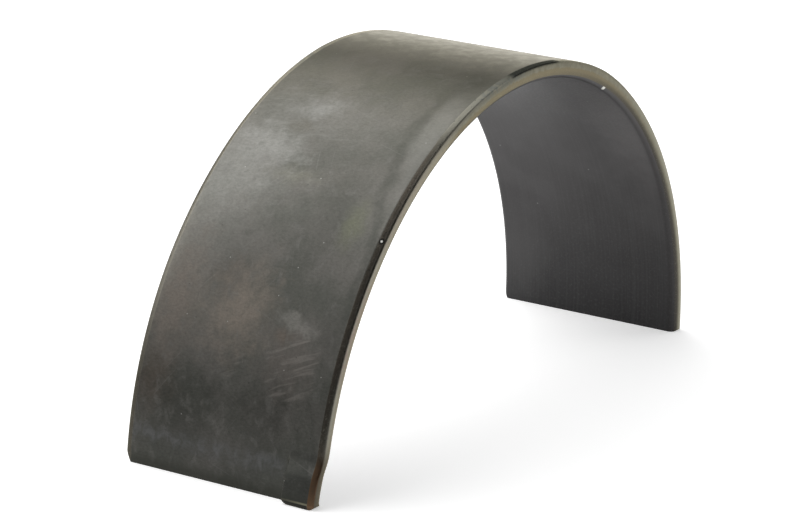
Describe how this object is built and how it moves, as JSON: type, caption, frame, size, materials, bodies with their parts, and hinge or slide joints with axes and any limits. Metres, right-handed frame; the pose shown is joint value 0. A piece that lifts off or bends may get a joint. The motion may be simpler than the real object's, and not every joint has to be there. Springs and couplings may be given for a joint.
{
  "type": "engine bearing shell",
  "caption": "Half-round thin-wall plain bearing shell with chamfered side faces and a pressed locating lug at one parting face.",
  "frame": {"origin": "on the parting plane, midway between the legs and midway across the width", "axes": "+Y along the bearing's axis, away from the side face that the lug is flush with; +Z from the parting plane towards the crown; -X towards the leg with the lug"},
  "size_m": [0.0628, 0.0176, 0.0292],
  "materials": {
    "bearing_steel": "satin dark grey steel back with cloudy stains, dark plated bore, bare metal side faces with a bronze-coloured lining line"
  },
  "bodies": {
    "root": {"bearing_shell": "bearing_steel"}
  },
  "joints": []
}
